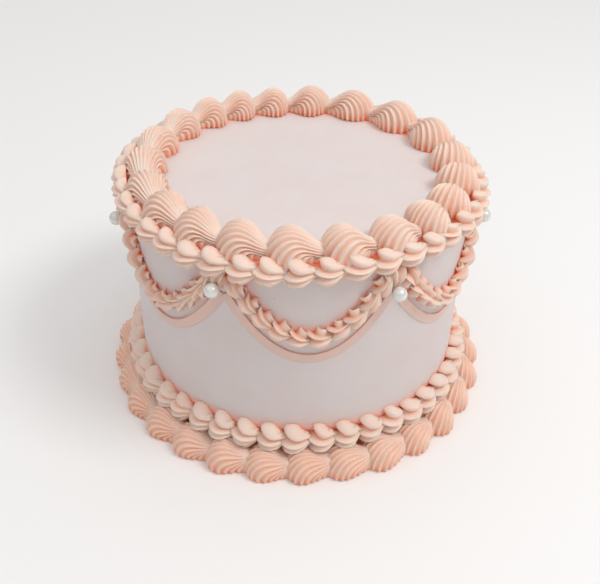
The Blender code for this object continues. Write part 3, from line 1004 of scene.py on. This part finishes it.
class CAKE_OT_coat(bpy.types.Operator):
    """Covers the cake with its smooth coat"""

    bl_idname = "cake.coat"
    bl_label = "Coat"

    def execute(self, context):
        settings = context.scene.cake_coat
        edge = settings.edge_round
        flat, straight = WALL_RADIUS - edge, CAKE_HEIGHT - edge
        corner = np.linspace(0.0, QUARTER_TURN, CORNER_RINGS)
        middle = np.linspace(COAT_MIDDLE, RIM_START, MIDDLE_RINGS)
        top = np.concatenate((middle, np.linspace(RIM_START, flat, BORDER_RINGS)[1:-1]))
        wall = np.linspace(straight, 0.0, WALL_RINGS)[1:]
        under = np.linspace(WALL_RADIUS, COAT_MIDDLE, UNDER_RINGS)[1:]
        out = (top, flat + edge * np.sin(corner), np.full(len(wall), WALL_RADIUS), under)
        up = (np.full(len(top), CAKE_HEIGHT), straight + edge * np.cos(corner), wall, 0.0 * under)
        out, up = np.concatenate(out)[:, None], np.concatenate(up)[:, None]
        turn = turns_round(RING_POINTS)[None, :]
        # Three waves and seven waves round the wall, which drift with the height
        wander = 0.5 * np.sin(3.0 * turn + 1.0 + 20.0 * up) + 0.5 * np.sin(7.0 * turn - 40.0 * up)
        on_wall = np.clip((out - WALL_RADIUS + WAVY_EDGE) / WAVY_EDGE, 0.0, 1.0)
        swept = out - settings.waviness * (1.0 + wander) * on_wall
        # Two low places on the top, wound round its middle
        dip = TOP_DIP * (1.0 + np.sin(2.0 * turn + 60.0 * out)) * (up >= CAKE_HEIGHT)
        dip = dip * np.minimum(1.0, out / LEVEL_MIDDLE)
        points = np.stack((swept * np.cos(turn), swept * np.sin(turn), up - dip), axis=2)
        icing = Icing()
        # Painted bounce light beside the piping and painted shade under it, as the coat's mask
        shine = near_piping(context.scene, turn + QUARTER_TURN, out, up)
        icing.add_grid(points, np.broadcast_to(shine, points.shape[:2]))
        finish_piece(icing.make("cake_coat", coat_icing()), "coat_icing", "cake_body")
        return {"FINISHED"}


# Shares of a rim shell's height that are the same for all and that grow with its length
STEADY_HEIGHT = 0.8
GROWING_HEIGHT = 0.2
# The share of a rim shell's half width from which its outer side hangs down
HANGS_FROM = 0.2
# How far the shells are pressed into the top and into the wall
PRESSED_IN_TOP = 0.0004
PRESSED_IN_WALL = 0.0003
# How much the painted shade in the folds of the foot's shells stands out, and how much painted shade the
# shells have all over
FOOT_FOLDS = 0.55
FOOT_SHADE_ALL_OVER = 0.32


def rim_bearings(count, first):
    """Bearings of the rim's shells, with the slow waves of a border that was spaced by hand."""
    even = first + np.arange(count) * FULL_TURN / count
    once = math.radians(3.1) * np.sin(even - math.radians(132.5))
    twice = math.radians(-2.9) * np.sin(2.0 * (even - math.radians(30.2)))
    thrice = math.radians(2.2) * np.sin(3.0 * (even - math.radians(17.0)))
    return even + once + twice + thrice


class CAKE_OT_rim(bpy.types.Operator):
    """Pipes the large shells round the top, longer where they are spaced wider"""

    bl_idname = "cake.rim"
    bl_label = "Rim shells"

    def execute(self, context):
        rim = context.scene.cake_rim
        draw = np.random.default_rng(SEEDS["rim"])
        even = FULL_TURN / rim.shells
        middles = rim_bearings(rim.shells, rim.middle)
        heads = 0.5 * (middles + np.roll(middles, 1))
        heads[0] -= math.pi
        steps = (np.roll(heads, -1) - heads) % FULL_TURN
        icing = Icing()
        for head, step in zip(heads, steps):
            length = (1.0 + rim.cover) * step * rim.radius
            height = rim.height * (STEADY_HEIGHT + GROWING_HEIGHT * step / even)
            tip = Tip(
                length=length, width=rim.width, height=height, ridges=rim.ridges, depth=rim.ridge_depth,
                tail_width=0.32, tail_height=0.27, spread=0.9, bend=0.42, fading=0.9, plain=5.0,
                merging=0.22, columns=8, rows=25,
            )
            points, fold = shell_surface(uneven(tip, draw, size=0.02), draw)
            points = turned(points, sway(draw, degrees=3.0))
            outer = np.clip(-points[:, :, 1] / (0.5 * rim.width) - HANGS_FROM, 0.0, 1.0)
            points[:, :, 2] -= rim.overhang * outer**2
            middle = head + 0.5 * length / rim.radius
            icing.add_grid(laid_on_top(points, middle, rim.radius, CAKE_HEIGHT - PRESSED_IN_TOP), fold)
        finish_piece(icing.make("rim_shells", piped_icing()), "piped_icing", "rim_shell_border")
        return {"FINISHED"}


class CAKE_OT_foot(bpy.types.Operator):
    """Pipes the large shells round the foot"""

    bl_idname = "cake.foot"
    bl_label = "Foot shells"

    def execute(self, context):
        foot = context.scene.cake_foot
        draw = np.random.default_rng(SEEDS["foot"])
        step = FULL_TURN / foot.shells
        length = (1.0 + foot.cover) * step * foot.radius
        tip = Tip(
            length=length, width=foot.width, height=foot.height, ridges=foot.ridges, depth=foot.ridge_depth,
            tail_width=0.55, tail_height=0.55, spread=0.35, bend=0.15, fading=0.9, plain=3.0,
            merging=0.24, columns=8, rows=18,
        )
        icing = Icing()
        for i in range(foot.shells):
            points, fold = shell_surface(uneven(tip, draw, size=0.03), draw)
            points = turned(points, sway(draw, degrees=4.0))
            middle = foot.head + i * step + 0.5 * length / foot.radius
            # Painted shade in the folds, and some all over the foot's shells
            icing.add_grid(laid_on_top(points, middle, foot.radius, 0.0), FOOT_FOLDS * fold + FOOT_SHADE_ALL_OVER)
        finish_piece(icing.make("foot_shells", piped_icing()), "piped_icing", "foot_shell_border")
        return {"FINISHED"}


# The borders on the wall wander up and down this many times round the cake, from this bearing, and
# their shells are smaller where they are higher, by a share for each metre
WANDERS = 3.0
WANDER_START = math.radians(30.0)
WANDER_THINNING = 50.0


def pipe_round_wall(border, seed):
    """A ring of small open-star shells on the wall."""
    draw = np.random.default_rng(seed)
    step = FULL_TURN / border.shells
    length = (1.0 + border.cover) * step * WALL_RADIUS
    tip = StarTip(
        length=length, width=border.width, height=border.height, fins=border.fins, depth=border.fin_depth,
        tail_width=0.2, tail_height=0.4, spread=0.6, bend=0.25, leaf=LEAF, sag=0.0008, columns=10, rows=18,
    )
    icing = Icing()
    for i in range(border.shells):
        points, fold = star_shell(uneven(tip, draw, size=0.05), draw)
        points = turned(points, sway(draw, degrees=7.0))
        middle = border.head + i * step + 0.5 * length / WALL_RADIUS + sway(draw, degrees=0.4)
        higher = border.wave * math.sin(WANDERS * middle - WANDER_START)
        points[:, :, 1:] *= 1.0 - WANDER_THINNING * higher
        points[:, :, 2] -= PRESSED_IN_WALL
        icing.add_grid(laid_on_wall(points, middle, border.level + higher), fold)
    return icing


class CAKE_OT_upper(bpy.types.Operator):
    """Pipes the small shells on the wall under the rim"""

    bl_idname = "cake.upper"
    bl_label = "Upper small shells"

    def execute(self, context):
        icing = pipe_round_wall(context.scene.cake_upper, SEEDS["upper"])
        finish_piece(icing.make("upper_shells", piped_icing()), "piped_icing", "upper_small_border")
        return {"FINISHED"}


class CAKE_OT_lower(bpy.types.Operator):
    """Pipes the small shells on the wall above the foot"""

    bl_idname = "cake.lower"
    bl_label = "Lower small shells"

    def execute(self, context):
        icing = pipe_round_wall(context.scene.cake_lower, SEEDS["lower"])
        finish_piece(icing.make("lower_shells", piped_icing()), "piped_icing", "lower_small_border")
        return {"FINISHED"}


SWAG_POINTS = 401


def places_along(swag):
    """How far off the middle each shell of a swag lies, and how far apart they are along the drape."""
    off = np.linspace(-0.5, 0.5, SWAG_POINTS) * swag.span
    level = drape(swag, off)[0]
    along = np.concatenate(([0.0], np.cumsum(np.hypot(WALL_RADIUS * np.diff(off), np.diff(level)))))
    pitch = along[-1] / swag.shells
    return np.interp((np.arange(swag.shells) + 0.5) * pitch, along, off), pitch


class CAKE_OT_swags(bpy.types.Operator):
    """Hangs a drape of small shells between each two junctions"""

    bl_idname = "cake.swags"
    bl_label = "Swags"

    def execute(self, context):
        swag = context.scene.cake_swag
        offsets, pitch = places_along(swag)
        tip = StarTip(
            length=(1.0 + swag.cover) * pitch, width=swag.width, height=swag.height, fins=swag.fins,
            depth=swag.fin_depth, tail_width=0.2, tail_height=0.35, spread=0.5, bend=0.15,
            leaf=0.55 * LEAF, sag=0.0003, columns=10, rows=16,
        )
        for index in range(SWAGS):
            draw = np.random.default_rng(SEEDS["swag"] + index)
            middle = junction_bearing(swag, index - 0.5) + swag.shift
            icing = Icing()
            for off in offsets:
                level, slope = drape(swag, off)
                down = (-math.sin(slope), -math.cos(slope))
                points, fold = star_shell(uneven(tip, draw, size=0.06), draw, down)
                points[:, :, 0] += 0.5 * swag.cover * pitch
                points = turned(points, slope + sway(draw, degrees=6.0))
                icing.add_grid(laid_on_wall(points, middle + off, level), fold)
            made = icing.make(f"swag_shells_{index}", piped_icing())
            finish_piece(made, "piped_icing", f"swag_{index}")
        return {"FINISHED"}


# A ribbon's section, in half widths across the band, in thicknesses above the wall, and how much painted
# shade it takes: from its lower edge up to the lip, and back inside the wall
RIBBON_SECTION = (
    (-1.0, 0.0, 0.5), (-0.96, 0.22, 0.15), (-0.8, 0.3, 0.1), (-0.5, 0.34, 0.12), (-0.1, 0.46, 0.1),
    (0.3, 0.6, 0.0), (0.62, 0.8, 0.0), (0.84, 1.0, 0.0), (0.97, 0.94, 0.1), (1.0, 0.5, 0.4),
    (0.9, -0.3, 1.0), (0.5, -0.4, 1.0), (0.0, -0.4, 1.0), (-0.5, -0.4, 1.0), (-0.9, -0.3, 1.0),
)
RIBBON_POINTS = 141
# The share of its length over which a ribbon comes to its full width, and how uneven it is
RIBBON_END = 0.02
UNEVEN_WIDTH = 0.06
UNEVEN_THICKNESS = 0.10


class CAKE_OT_ribbons(bpy.types.Operator):
    """Lays a flat band of icing below each swag"""

    bl_idname = "cake.ribbons"
    bl_label = "Ribbons"

    def execute(self, context):
        scene = context.scene
        ribbon = scene.cake_ribbon
        # fold: the painted shade of each point of the section
        across, above, fold = np.array(RIBBON_SECTION).T
        share = np.linspace(-0.5, 0.5, RIBBON_POINTS)
        off = share * ribbon.span
        level, slope = (values[:, None] for values in drape(ribbon, off))
        ends = np.clip((0.5 - np.abs(share)) / RIBBON_END, 0.0, 1.0) ** 0.5
        for index in range(SWAGS):
            draw = np.random.default_rng(SEEDS["ribbon"] + index)
            phases = draw.uniform(0.0, FULL_TURN, 2)
            wide = 0.5 * ribbon.width * (1.0 + UNEVEN_WIDTH * np.sin(9.0 * off + phases[0]))
            wide = wide * (0.5 + 0.5 * ends)
            tall = ribbon.thickness * (1.0 + UNEVEN_THICKNESS * np.sin(14.0 * off + phases[1])) * ends
            side, out = np.outer(wide, across), np.outer(tall, above)
            x = (off * WALL_RADIUS)[:, None] - side * np.sin(slope)
            points = np.stack((x, side * np.cos(slope) + level, out), axis=2)
            middle = junction_bearing(scene.cake_swag, index - 0.5) + ribbon.shift
            icing = Icing()
            icing.add_grid(laid_on_wall(points, middle, 0.0), np.broadcast_to(fold, x.shape))
            made = icing.make(f"ribbon_band_{index}", ribbon_icing())
            finish_piece(made, "piped_icing", f"ribbon_{index}")
        return {"FINISHED"}


class CAKE_OT_drops(bpy.types.Operator):
    """Pipes a drop down from the upper border at each junction"""

    bl_idname = "cake.drops"
    bl_label = "Drops"

    def execute(self, context):
        scene = context.scene
        drop = scene.cake_junction
        tip = StarTip(
            length=drop.length, width=drop.width, height=drop.height, fins=drop.petals,
            depth=drop.petal_depth, tail_width=0.3, tail_height=0.5, spread=0.7, bend=0.2,
            leaf=0.7 * LEAF, sag=0.0, columns=10, rows=16,
        )
        for index in range(SWAGS):
            draw = np.random.default_rng(SEEDS["drop"] + index)
            points, fold = star_shell(uneven(tip, draw, size=0.04), draw)
            points = turned(points, -QUARTER_TURN + sway(draw, degrees=5.0))
            icing = Icing()
            bearing = junction_bearing(scene.cake_swag, index)
            icing.add_grid(laid_on_wall(points, bearing, drop.top - 0.5 * drop.length), fold)
            made = icing.make(f"drop_petals_{index}", piped_icing())
            finish_piece(made, "piped_icing", f"drop_{index}")
        return {"FINISHED"}


# A pearl's rings and the points of each, how far from its poles the rings end, and how far out of
# round it is
PEARL_RINGS = 40
PEARL_POINTS = 64
PEARL_POLE = 0.02
PEARL_DENT = 0.006


class CAKE_OT_pearls(bpy.types.Operator):
    """Presses a sugar pearl into the tail of each drop"""

    bl_idname = "cake.pearls"
    bl_label = "Pearls"

    def execute(self, context):
        polar = np.linspace(PEARL_POLE, math.pi - PEARL_POLE, PEARL_RINGS)[:, None]
        turn = turns_round(PEARL_POINTS)[None, :]
        ball = (np.sin(polar) * np.cos(turn), np.sin(polar) * np.sin(turn), np.cos(polar))
        ball = np.stack(np.broadcast_arrays(*ball), axis=2)
        for index in range(SWAGS):
            low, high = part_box(f"pearl_{index}")
            radius = 0.5 * (high.z - low.z)
            draw = np.random.default_rng(SEEDS["pearl"] + index)
            phases = draw.uniform(0.0, FULL_TURN, 2)
            dents = 1.0 + np.sin(2.0 * turn + phases[0]) * np.sin(2.0 * polar + phases[1])
            size = radius * (1.0 - PEARL_DENT * dents)
            points = ball * size[:, :, None] + np.array(0.5 * (low + high))
            icing = Icing()
            icing.add_grid(points, np.zeros(points.shape[:2]))
            made = icing.make(f"sugar_pearl_{index}", pearl_sugar())
            finish_piece(made, "pearl", f"pearl_{index}")
        return {"FINISHED"}


# The stage. Lengths are in metres, but the camera is placed in wall radii from the middle of the
# cake's underside
FLOOR_RADIUS = 4.0
FLOOR_POINTS = 96
FLOOR_LEVEL = -0.0002
SKY_COLOUR = (1.0, 0.99, 0.985, 1.0)
SKY_EDGE = -0.1
KEY_SIZES = (0.45, 0.35)
KEY_COLOUR = (1.0, 0.985, 0.96)
KEY_PLACE = Vector((0.66, -0.3, 1.08))
KEY_AIM = Vector((0.0, 0.0, 0.06))
CAMERA_PLACE = Vector((0.0132, -4.1558, 3.4863))
SENSOR_MILLIMETRES = 36.0


class CAKE_OT_stage(bpy.types.Operator):
    """Sets up the floor, the soft studio light and the camera"""

    bl_idname = "cake.stage"
    bl_label = "Stage"

    def execute(self, context):
        stage = context.scene.cake_stage
        self.floor(context.scene, stage)
        self.lights(context.scene, stage)
        self.camera(context.scene, stage)
        context.scene.view_settings.view_transform = "Standard"
        return {"FINISHED"}

    def floor(self, scene, stage):
        """A plain round floor, wide enough for every view."""
        mesh = bpy.data.meshes.new("floor")
        turn = turns_round(FLOOR_POINTS)
        edge = [(FLOOR_RADIUS * math.cos(t), FLOOR_RADIUS * math.sin(t), FLOOR_LEVEL) for t in turn]
        mesh.from_pydata(edge, [], [list(range(len(edge)))])
        material, tree, shader = shader_of("floor_finish")
        shader.inputs["Base Color"].default_value = (*stage.floor, 1.0)
        shader.inputs["Roughness"].default_value = 0.8
        shader.inputs["Specular IOR Level"].default_value = 0.2
        mesh.materials.append(material)
        floor = bpy.data.objects.new("floor", mesh)
        scene.collection.objects.link(floor)

    def lights(self, scene, stage):
        """Soft light from all sides, most of it from above, and a large lamp at the upper right."""
        world = bpy.data.worlds.new("studio")
        world.use_nodes = True
        nodes, links = world.node_tree.nodes, world.node_tree.links
        sky = nodes["Background"]
        sky.inputs["Color"].default_value = SKY_COLOUR
        place = nodes.new("ShaderNodeTexCoord")
        split = nodes.new("ShaderNodeSeparateXYZ")
        links.new(place.outputs["Generated"], split.inputs["Vector"])
        up = ranged(world.node_tree, split.outputs["Z"], SKY_EDGE, 1.0, stage.horizon, stage.surround)
        links.new(up, sky.inputs["Strength"])
        scene.world = world
        key = bpy.data.lights.new("key_light", "AREA")
        key.shape = "RECTANGLE"
        key.size, key.size_y = KEY_SIZES
        key.energy = stage.key
        key.color = KEY_COLOUR
        lamp = bpy.data.objects.new("key_light", key)
        look = (KEY_AIM - KEY_PLACE).to_track_quat("-Z", "Y").to_matrix().to_4x4()
        lamp.matrix_world = Matrix.Translation(KEY_PLACE) @ look
        scene.collection.objects.link(lamp)

    def camera(self, scene, stage):
        """The camera at the photograph's viewing angle."""
        lens = bpy.data.cameras.new("camera")
        lens.sensor_width = SENSOR_MILLIMETRES
        lens.lens = stage.lens
        lens.clip_start = 0.01
        camera = bpy.data.objects.new("camera", lens)
        look = Matrix.Rotation(QUARTER_TURN - stage.tilt, 4, "X") @ Matrix.Rotation(stage.roll, 4, "Z")
        camera.matrix_world = Matrix.Translation(WALL_RADIUS * CAMERA_PLACE) @ look
        scene.collection.objects.link(camera)
        scene.camera = camera


STEPS = (
    CAKE_OT_coat,
    CAKE_OT_rim,
    CAKE_OT_foot,
    CAKE_OT_upper,
    CAKE_OT_lower,
    CAKE_OT_swags,
    CAKE_OT_ribbons,
    CAKE_OT_drops,
    CAKE_OT_pearls,
    CAKE_OT_stage,
)

SETTINGS = {
    "cake_coat": CakeCoatSettings,
    "cake_rim": CakeRimSettings,
    "cake_foot": CakeFootSettings,
    "cake_upper": CakeUpperSettings,
    "cake_lower": CakeLowerSettings,
    "cake_swag": CakeSwagSettings,
    "cake_ribbon": CakeRibbonSettings,
    "cake_junction": CakeJunctionSettings,
    "cake_icing": CakeIcingSettings,
    "cake_stage": CakeStageSettings,
}


class CAKE_PT_panel(bpy.types.Panel):
    """Lists the steps and their sizes and colours"""

    bl_idname = "CAKE_PT_panel"
    bl_label = "Lambeth Cake"
    bl_space_type = "VIEW_3D"
    bl_region_type = "UI"
    bl_category = "Cake"

    def draw(self, context):
        layout = self.layout
        for step in STEPS:
            layout.operator(step.bl_idname)
        for name, group in SETTINGS.items():
            box = layout.box()
            box.label(text=group.__doc__)
            for prop in group.__annotations__:
                box.prop(getattr(context.scene, name), prop)


def register():
    for group in SETTINGS.values():
        bpy.utils.register_class(group)
    for name, group in SETTINGS.items():
        setattr(bpy.types.Scene, name, PointerProperty(type=group))
    for step in STEPS:
        bpy.utils.register_class(step)
    bpy.utils.register_class(CAKE_PT_panel)


def unregister():
    bpy.utils.unregister_class(CAKE_PT_panel)
    for step in reversed(STEPS):
        bpy.utils.unregister_class(step)
    for name, group in SETTINGS.items():
        delattr(bpy.types.Scene, name)
        bpy.utils.unregister_class(group)


def main():
    register()
    for step in STEPS:
        group, name = step.bl_idname.split(".")
        getattr(getattr(bpy.ops, group), name)()


if __name__ == "__main__":
    main()
